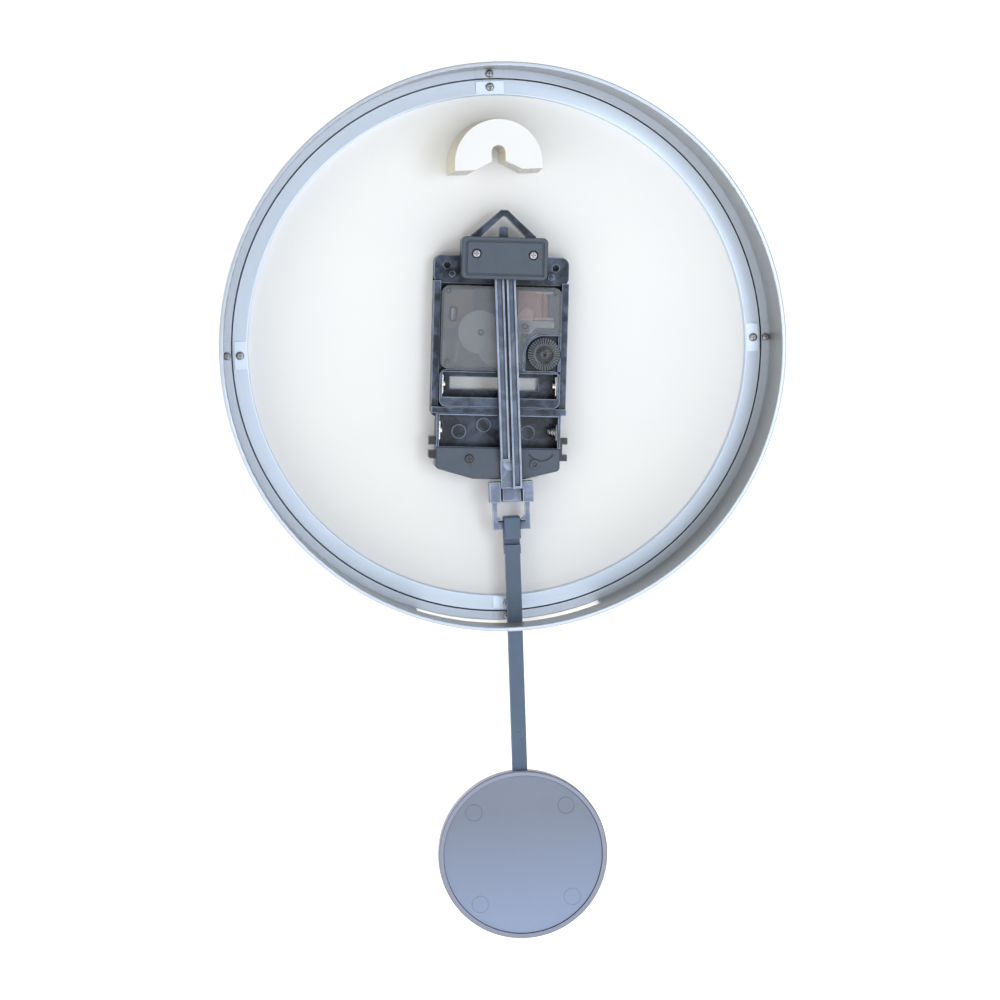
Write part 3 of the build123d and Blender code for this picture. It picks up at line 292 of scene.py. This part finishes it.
def hanger_white():
    """White block with sides painted cream as if lit by a warm light, and a rough, speckled underside."""
    look = Look("hanger_white", (0.76, 0.77, 0.79), 0.38)
    facing = look.facing()
    underside = look.spread(facing["Z"], -0.35, -0.6)
    specks = look.spread(look.noise(0.0014, detail=4.0, roughness=0.8), 0.42, 0.56)
    look.tint(look.maths("MULTIPLY", underside, specks), (0.42, 0.36, 0.27))
    # painted light: the sides, not the underside, tinted cream as if lit by a warm side light
    side = look.spread(look.maths("ABSOLUTE", facing["Y"]), 0.6, 0.2, 0.0, 0.8)
    look.tint(look.maths("SUBTRACT", side, underside), (0.80, 0.72, 0.52))
    # painted shade in corners and hollows
    look.tint(look.spread(look.corners(0.006), 0.25, 0.95, 0.0, 0.45), (0.50, 0.45, 0.37))
    look.rough(look.noise(0.004, detail=3.0), 0.32, 0.46)
    crumbs = look.noise(0.0011, detail=5.0, roughness=0.8)
    look.bump(look.maths("MULTIPLY", underside, crumbs), 0.0004)
    look.bump(look.noise(0.0007), 0.000008)
    return look


def copper_wire():
    look = Look("copper", (0.75, 0.34, 0.17), 0.3, metallic=1.0)
    look.tint(look.spread(look.noise(0.002, detail=3.0), 0.4, 0.7, 0.0, 0.5), (0.55, 0.20, 0.09))
    look.rough(look.noise(0.0006, detail=3.0), 0.2, 0.42)
    look.bump(look.noise(0.0002, detail=2.0, place=look.stretched((6, 1, 1))), 0.00002)
    return look


def circuit_board():
    """Brown paper board with a weave that runs one way."""
    look = Look("board", (0.33, 0.21, 0.09), 0.5)
    weave = look.noise(0.0012, detail=4.0, place=look.stretched((1, 1, 4)))
    look.tint(look.spread(weave, 0.4, 0.7), (0.25, 0.15, 0.06))
    look.rough(look.noise(0.002), 0.35, 0.6)
    look.bump(look.noise(0.0005, place=look.stretched((5, 1, 1))), 0.00002)
    return look


def smoke_cover():
    """See-through grey plastic, cloudy in places."""
    look = Look("smoke_cover", (0.235, 0.255, 0.30), 0.14, Alpha=0.42)
    look.tint(look.spread(look.noise(0.012, detail=2.0), 0.35, 0.75, 0.0, 0.4), (0.29, 0.31, 0.35))
    look.rough(look.noise(0.006, detail=3.0), 0.10, 0.26)
    look.bump(look.noise(0.004, detail=1.0), 0.00002)
    return look


def cover_label():
    """Thin see-through film, a little pink."""
    look = Look("cover_label", (0.52, 0.40, 0.41), 0.45, Alpha=0.3)
    look.tint(look.spread(look.noise(0.003, detail=4.0), 0.4, 0.7, 0.0, 0.4), (0.58, 0.52, 0.52))
    look.rough(look.noise(0.001), 0.35, 0.6)
    look.bump(look.noise(0.0008), 0.00001)
    return look


def movement_looks():
    """The movement's dark plastics and the pendulum's blue-grey ones, each with a painted highlight along
    its edges in the second colour (for box a painted dark outline), a mottled painted highlight where
    a sheen colour is given, and painted shade in corners as strong as depth.
    """
    return {
        # black: bluish painted highlights on edges and a mottled painted highlight
        "black": plastic(
            "movement_black", (0.007, 0.012, 0.026), (0.34, 0.43, 0.63), 0.28, depth=0.95,
            painted_sheen=(0.100, 0.135, 0.215), Specular_IOR_Level=0.35,
        ),
        # box: edges painted dark, a painted shade outline
        "box": plastic("suspension_black", (0.050, 0.070, 0.104), (0.006, 0.008, 0.014), 0.42, depth=0.95),
        "knob": plastic("knob_black", (0.002, 0.003, 0.005), (0.15, 0.175, 0.22), 0.28, depth=0.95),
        "pendulum": plastic(
            "pendulum_plastic", (0.12, 0.155, 0.24), (0.55, 0.66, 0.88), 0.30, depth=0.95,
            painted_sheen=(0.28, 0.35, 0.51),
        ),
        "rod": plastic("rod_plastic", (0.062, 0.102, 0.168), (0.14, 0.19, 0.29), 0.42),
        "mark": plastic("cover_relief", (0.045, 0.050, 0.060), (0.09, 0.10, 0.12), 0.25),
        "nylon": plastic("gear_nylon", (0.72, 0.71, 0.66), (0.8, 0.8, 0.78), 0.4, Subsurface_Weight=0.2),
        "smoke": smoke_cover(),
        "label": cover_label(),
        "board": circuit_board(),
        "copper": copper_wire(),
    }


def case_looks():
    """The case, dial, hands and bob."""
    return {
        "case": case_paint(),
        "bezel": painted_silver("bezel_paint", (0.46, 0.50, 0.58), 0.36, 0.6),
        "ring": painted_silver("ring_paint", (0.66, 0.75, 0.90), 0.38, 0.5),
        "bob": bob_paint(),
        "bob_rim": painted_silver("bob_rim_paint", (0.225, 0.245, 0.325), 0.36, 0.6),
        "glass": lens_glass(),
        "dial": white_dial(),
        "white": white_plastic(),
        "block": hanger_white(),
        "print": plastic("print_black", (0.015, 0.015, 0.018), (0.05, 0.05, 0.05), 0.5, relief=0.00001),
        "hand": plastic("hand_black", (0.012, 0.012, 0.014), (0.2, 0.2, 0.2), 0.35, relief=0.00001),
    }


def metal_looks():
    """Screws, pins, contacts and plated parts."""
    return {
        "zinc": metal("zinc_screw", (0.36, 0.36, 0.38), 0.28),
        "steel": metal("steel", (0.58, 0.59, 0.61), 0.25),
        "brass": metal("brass", (0.78, 0.58, 0.28), 0.25),
        "plate": metal("contact_plate", (0.80, 0.77, 0.68), 0.22, brushed=(1, 1, 6)),
        "magnet": metal("magnet", (0.12, 0.12, 0.13), 0.5),
        "bright": painted_silver("plated_blade", (0.93, 0.93, 0.92), 0.3, 0.2),
        "dark_screw": metal("dark_screw", (0.07, 0.07, 0.08), 0.35),
    }


LOOK_OF_NODE = {
    "case_band": "case", "bezel": "bezel", "retaining_ring": "ring",
    "shelf_screws": "zinc", "retaining_screws": "zinc", "lens": "glass", "spacer_ring": "white",
    "dial_plate": "dial", "hour_markers": "print", "minute_markers": "print", "hanger_block": "block",
    "hour_hand": "hand", "minute_hand": "hand", "seconds_hand": "hand", "washer": "steel",
    "fixing_nut": "brass", "cradle_frame": "black", "movement_housing": "black", "rear_cover": "smoke",
    "setting_knob": "knob", "rotor": "nylon", "middle_wheel": "nylon", "seconds_wheel": "nylon",
    "third_wheel": "nylon", "centre_wheel": "nylon", "minute_tube": "nylon", "motion_wheel": "nylon",
    "hour_wheel": "nylon", "train_bridge": "white", "coil_bobbin": "white", "coil_winding": "copper",
    "stator": "steel", "circuit_board": "board", "quartz_can": "steel",
    "clock_contact_positive": "plate", "clock_contact_negative": "plate", "drive_housing": "black",
    "drive_cover": "box", "drive_cover_screw": "dark_screw", "drive_bobbin": "white",
    "drive_winding": "copper", "drive_board": "board", "drive_contact_positive": "plate",
    "drive_contact_negative": "steel", "latch_knobs": "knob", "latch_clip": "knob",
    "suspension_box": "black", "suspension_cover": "box", "suspension_screws": "zinc",
    "pivot_pin": "steel", "lever": "pendulum", "lever_magnet": "magnet", "stirrup": "pendulum",
    "pendulum_rod": "rod", "bob_shell": "bob_rim", "bob_insert": "bob",
}
BEVEL_MM = {
    "case_band": 0.25, "bezel": 0.3, "retaining_ring": 0.2, "hanger_block": 0.5, "dial_plate": 0.1,
    "cradle_frame": 0.3, "movement_housing": 0.25, "rear_cover": 0.35, "drive_housing": 0.3,
    "drive_cover": 0.3, "suspension_box": 0.3, "suspension_cover": 0.35, "lever": 0.22,
    "stirrup": 0.3, "pendulum_rod": 0.25, "bob_shell": 0.3, "bob_insert": 0.2, "latch_knobs": 0.25,
    "latch_clip": 0.25, "setting_knob": 0.12, "train_bridge": 0.12, "stator": 0.1, "quartz_can": 0.2,
    "coil_bobbin": 0.12,
}


def soften(piece, width):
    """Round off a piece's hard edges by a bevel of that width, and keep its flat faces flat."""
    weld = piece.modifiers.new("weld", "WELD")
    weld.merge_threshold = 0.000002
    bevel = piece.modifiers.new("bevel", "BEVEL")
    bevel.width = width
    bevel.segments = 2
    bevel.limit_method = "ANGLE"
    bevel.angle_limit = radians(32)
    bevel.use_clamp_overlap = True
    bevel.harden_normals = False
    flat = piece.modifiers.new("normals", "WEIGHTED_NORMAL")
    flat.keep_sharp = False


looks = {**case_looks(), **movement_looks(), **metal_looks()}
for name, node in nodes.items():
    node.data.materials.clear()
    node.data.materials.append(looks[LOOK_OF_NODE[name]].material)
    if name in BEVEL_MM:
        soften(node, BEVEL_MM[name] * MM)


# ---------------------------------------------------------------- detailed pieces

def on_movement(u, v, y):
    """Point in the movement's own grid: u to the right and v up as seen from behind, depth y, mm."""
    return SHAFT + MM * Vector((
        -u * cos(MOVEMENT_TILT) - v * sin(MOVEMENT_TILT),
        y,
        -u * sin(MOVEMENT_TILT) + v * cos(MOVEMENT_TILT),
    ))


def add_piece(name, grid, look, body, smooth=True):
    """Turn a bmesh into a piece that rides on a body."""
    bmesh.ops.recalc_face_normals(grid, faces=grid.faces)
    mesh = bpy.data.meshes.new(name)
    grid.to_mesh(mesh)
    grid.free()
    for face in mesh.polygons:
        face.use_smooth = smooth
    piece = bpy.data.objects.new(name, mesh)
    piece.data.materials.append(looks[look].material)
    scene.collection.objects.link(piece)
    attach(piece, body)
    return piece


def skin(grid, rings, close_ends=True):
    """Join rings of points, each with the same count, into one closed skin."""
    rows = [[grid.verts.new(point) for point in ring] for ring in rings]
    count = len(rings[0])
    for near, far in zip(rows, rows[1:]):
        for i in range(count):
            grid.faces.new((near[i], near[(i + 1) % count], far[(i + 1) % count], far[i]))
    if close_ends:
        grid.faces.new(rows[0][::-1])
        grid.faces.new(rows[-1])


def tube(grid, path, radius, sides=8):
    """Round wire along a list of points."""
    rings = []
    for i, point in enumerate(path):
        along = (path[min(i + 1, len(path) - 1)] - path[max(i - 1, 0)]).normalized()
        side = along.cross(Vector((0, 1, 0.3))).normalized()
        other = along.cross(side)
        ring = []
        for step in range(sides):
            turn = 2 * pi * step / sides
            ring.append(point + radius * (cos(turn) * side + sin(turn) * other))
        rings.append(ring)
    skin(grid, rings)


def turned(grid, base, axis, profile, sides=40):
    """Turned body: profile lists (distance along the axis, radius) from one end to the other."""
    side = axis.cross(Vector((0, 1, 0.2))).normalized()
    other = axis.cross(side).normalized()
    rings = []
    for along, radius in profile:
        ring = []
        for step in range(sides):
            turn = 2 * pi * step / sides
            ring.append(base + along * axis + radius * (cos(turn) * side + sin(turn) * other))
        rings.append(ring)
    skin(grid, rings)


def plate(grid, outline, low, high):
    """Flat plate between depths low and high, outlined by points (u, v) in the movement's grid."""
    rings = []
    for depth in (low, high):
        rings.append([on_movement(u, v, depth) for u, v in outline])
    skin(grid, rings)


def raised_rim(grid, outer, inner, low, high):
    """Raised line between two outlines with the same number of points."""
    merge_distance = 0.001 * MM
    rings = []
    for outline, depth in ((outer, low), (outer, high), (inner, high), (inner, low)):
        rings.append([on_movement(u, v, depth) for u, v in outline])
    skin(grid, rings + rings[:1], close_ends=False)
    bmesh.ops.remove_doubles(grid, verts=grid.verts, dist=merge_distance)


def rounded(left, right, bottom, top, corner, steps=5):
    """Outline of a rectangle with round corners."""
    outline = []
    middles = (
        (right - corner, top - corner, 0), (left + corner, top - corner, 90),
        (left + corner, bottom + corner, 180), (right - corner, bottom + corner, 270),
    )
    for u, v, start in middles:
        for step in range(steps + 1):
            turn = radians(start + 90 * step / steps)
            outline.append((u + corner * cos(turn), v + corner * sin(turn)))
    return outline


def make_spring():
    """Negative contact of the drive bay: a plated strip with a wire wound into a cone."""
    strip_u, strip_front, strip_back = 27.3, 0.25, 0.2
    bottom, top, low_y, high_y, corner = -43.4, -35.1, -31.9, -23.1, 0.9
    axis_v, axis_y, stand_off = -39.2, -27.5, 0.45
    wide_r, taper, length, wire_r = 3.1, 1.7, 3.2, 0.26
    turns, per_turn = 4.2, 22
    grid = bmesh.new()
    rings = []
    for u in (strip_u - strip_front, strip_u + strip_back):
        rings.append([on_movement(u, v, y) for v, y in rounded(bottom, top, low_y, high_y, corner)])
    skin(grid, rings)
    path = []
    for step in range(int(turns * per_turn) + 1):
        share = step / (turns * per_turn)
        turn = 2 * pi * step / per_turn
        radius = wide_r - taper * share
        path.append(on_movement(
            strip_u - stand_off - length * share, axis_v + radius * cos(turn), axis_y + radius * sin(turn)
        ))
    tube(grid, path, wire_r * MM)
    spring = add_piece("drive_bay_spring", grid, "steel", "case")
    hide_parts("drive_contact_negative")


def make_windings():
    """Both coils' wire, turn beside turn."""
    up = (on_movement(0, 1, 0) - on_movement(0, 0, 0)).normalized()
    back = Vector((0, 1, 0))
    wire_height, core_r, per_turn = 0.07, 1.6, 6
    # piece, the node it replaces, foot of its axis, axis, length, radius and turns
    coils = (
        ("clock_coil_wire", "coil_winding", on_movement(20.3, 14.05, -27.6), up, 10.9, 2.62, 36),
        ("drive_coil_wire", "drive_winding", on_movement(0, -54.0, -30.95), back, 7.5, 5.2, 26),
    )
    for name, node, base, axis, length, radius, turns in coils:
        grid = bmesh.new()
        profile = []
        for step in range(turns * per_turn + 1):
            along = length * step / (turns * per_turn)
            ripple = wire_height * abs(sin(pi * step / per_turn))
            profile.append((along * MM, (radius + ripple) * MM))
        if axis == back:
            profile = [(0.0, core_r * MM)] + profile + [(length * MM, core_r * MM)]
        turned(grid, base, axis, profile)
        wire = add_piece(name, grid, "copper", "case")
        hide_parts(node)


def place_of(name):
    """A node's middle in the movement's grid, then half its width and height, mm."""
    corners = [nodes[name].matrix_world @ Vector(corner) - SHAFT for corner in nodes[name].bound_box]
    middle = sum(corners, Vector()) / len(corners)
    u = -middle.x * cos(MOVEMENT_TILT) - middle.z * sin(MOVEMENT_TILT)
    v = -middle.x * sin(MOVEMENT_TILT) + middle.z * cos(MOVEMENT_TILT)
    wide = max(corner.x for corner in corners) - min(corner.x for corner in corners)
    high = max(corner.z for corner in corners) - min(corner.z for corner in corners)
    return u / MM, v / MM, wide / 2 / MM, high / 2 / MM


def make_cover_label():
    """Blank label on the smoked cover, over the coil's side."""
    u, v, _, half_height = place_of("coil_bobbin")
    width, gap, corner, thickness = 11.0, 2.0, 0.5, 0.08
    outline = rounded(u - gap - width, u - gap, v - half_height, v + half_height, corner)
    grid = bmesh.new()
    plate(grid, outline, COVER_TOP, COVER_TOP + thickness)
    add_piece("cover_label", grid, "label", "case", smooth=False)


def make_cover_rings():
    """Moulded relief on the cover: a ring over each wheel's pivot and in three corners, and a frame
    over the crystal can."""
    line, socket_r, corner_r, inset = 0.55, 1.4, 1.2, 4.0
    frame_corner, least_corner, sunk, proud = 1.0, 0.2, 0.02, 0.16
    cover_u, cover_v, half_width, half_height = place_of("rear_cover")
    left, right = cover_u - half_width + inset, cover_u + half_width - inset
    bottom, top = cover_v - half_height + inset, cover_v + half_height - inset
    rings = [(*place_of(wheel)[:2], socket_r) for wheel in ("third_wheel", "middle_wheel", "rotor")]
    rings += [(left, top, corner_r), (right, top, corner_r), (left, bottom, corner_r)]
    outlines = [(u - r, u + r, v - r, v + r, r) for u, v, r in rings]
    u, v, can_wide, can_high = place_of("quartz_can")
    outlines.append((u - can_wide, u + can_wide, v - can_high, v + can_high, frame_corner))
    grid = bmesh.new()
    for low_u, high_u, low_v, high_v, corner in outlines:
        raised_rim(
            grid, rounded(low_u, high_u, low_v, high_v, corner),
            rounded(
                low_u + line, high_u - line, low_v + line, high_v - line,
                max(corner - line, least_corner),
            ),
            COVER_TOP - sunk, COVER_TOP + proud,
        )
    add_piece("cover_rings", grid, "mark", "case", smooth=False)


def make_blades():
    """Two plated contact blades just under the cover, beside its left wall."""
    cover_u, cover_v, half_width, half_height = place_of("rear_cover")
    width, length, apart, lean = 1.6, 10.0, 5.0, 1.5
    from_side, from_bottom, depth, thickness, rounding = 2.0, 4.0, 1.9, 0.3, 0.1
    first, bottom = cover_u - half_width + from_side, cover_v - half_height + from_bottom
    grid = bmesh.new()
    for u, slant in ((first, 0.0), (first + apart, lean)):
        outline = [
            (u, bottom), (u + width, bottom),
            (u + width + slant, bottom + length), (u + slant, bottom + length),
        ]
        plate(grid, outline, COVER_TOP - depth, COVER_TOP - depth + thickness)
    blades = add_piece("contact_blades", grid, "bright", "case", smooth=False)
    soften(blades, rounding * MM)


# ---------------------------------------------------------------- camera, floor and light

def look_at(place, target, roll=0.0):
    """Rotation that points a camera or light at target, with its top up and turned by roll."""
    away = (place - target).normalized()
    right = Vector((0, 0, 1)).cross(away).normalized()
    up = away.cross(right)
    return Matrix((right, up, away)).transposed().to_4x4() @ Matrix.Rotation(roll, 4, "Z")


def make_camera():
    """Camera behind the clock, a little to one side and above, with a slight roll."""
    place = Vector((132.4, 1398.6, -47.8)) * MM
    direction = Vector((-0.0913, -1.0, -0.0813))
    roll = radians(-1.92)
    data = bpy.data.cameras.new("camera")
    data.sensor_width = 36.0
    data.lens = 110.8
    camera = bpy.data.objects.new("camera", data)
    camera.matrix_world = Matrix.Translation(place) @ look_at(place, place + direction, roll)
    scene.collection.objects.link(camera)
    scene.camera = camera


def make_stage():
    """Flat pale floor under the pendulum."""
    floor_z = -0.46
    half = 6.0
    grid = bmesh.new()
    outline = ((-half, -half), (half, -half), (half, half), (-half, half))
    grid.faces.new([grid.verts.new((x, y, floor_z)) for x, y in outline])
    mesh = bpy.data.meshes.new("studio_floor")
    grid.to_mesh(mesh)
    grid.free()
    floor = bpy.data.objects.new("studio_floor", mesh)
    scene.collection.objects.link(floor)
    look = Look("studio_floor", (0.93, 0.93, 0.93), 0.7)
    look.tint(look.spread(look.noise(0.3), 0.4, 0.7, 0.0, 0.2), (0.91, 0.92, 0.93))
    look.shader.inputs["Emission Color"].default_value = (1, 1, 1, 1)
    look.shader.inputs["Emission Strength"].default_value = 0.5
    floor.data.materials.append(look.material)


def area_light(name, place, target, size, power, colour):
    """Rectangular light: places and sizes in metres, power in watts."""
    data = bpy.data.lights.new(name, "AREA")
    data.shape = "RECTANGLE"
    data.size, data.size_y = size
    data.energy = power
    data.color = colour
    light = bpy.data.objects.new(name, data)
    place = Vector(place)
    light.matrix_world = Matrix.Translation(place) @ look_at(place, Vector(target))
    scene.collection.objects.link(light)


def make_world():
    """Even studio surround: bright beyond the dial, dimmer and a little warm behind the camera."""
    world = bpy.data.worlds.new("studio")
    world.use_nodes = True
    tree = world.node_tree
    background = tree.nodes["Background"]
    place = tree.nodes.new("ShaderNodeTexCoord")
    split = tree.nodes.new("ShaderNodeSeparateXYZ")
    tree.links.new(place.outputs["Generated"], split.inputs["Vector"])
    ramp = tree.nodes.new("ShaderNodeMapRange")
    ramp.inputs["From Min"].default_value = -0.45
    ramp.inputs["From Max"].default_value = 0.25
    tree.links.new(split.outputs["Y"], ramp.inputs["Value"])
    mix = tree.nodes.new("ShaderNodeMix")
    mix.data_type = "RGBA"
    mix.inputs[6].default_value = (1.0, 1.0, 1.0, 1)
    mix.inputs[7].default_value = (0.40, 0.385, 0.35, 1)
    tree.links.new(ramp.outputs["Result"], mix.inputs["Factor"])
    tree.links.new(mix.outputs[2], background.inputs["Color"])
    background.inputs["Strength"].default_value = 1.05
    scene.world = world


def make_lights():
    middle = (0, -0.02, -0.15)
    area_light("key", (-0.62, 1.55, 0.05), middle, (0.5, 0.5), 5.8, (0.84, 0.92, 1.0))
    area_light("warm_left", (1.2, 1.3, 0.1), middle, (0.6, 0.9), 2.8, (1.0, 0.90, 0.70))
    area_light("top", (0.1, 1.0, 1.2), middle, (1.6, 0.6), 1.6, (0.82, 0.91, 1.0))
    area_light("low", (0.1, 1.35, -0.33), middle, (1.5, 0.2), 2.4, (0.82, 0.91, 1.0))
    area_light("front", (1.2, -1.3, 0.9), middle, (1.2, 1.2), 14, (1.0, 0.99, 0.97))


make_spring()
make_windings()
make_cover_label()
make_cover_rings()
make_blades()
make_camera()
make_stage()
make_world()
make_lights()
scene.view_settings.view_transform = "Standard"
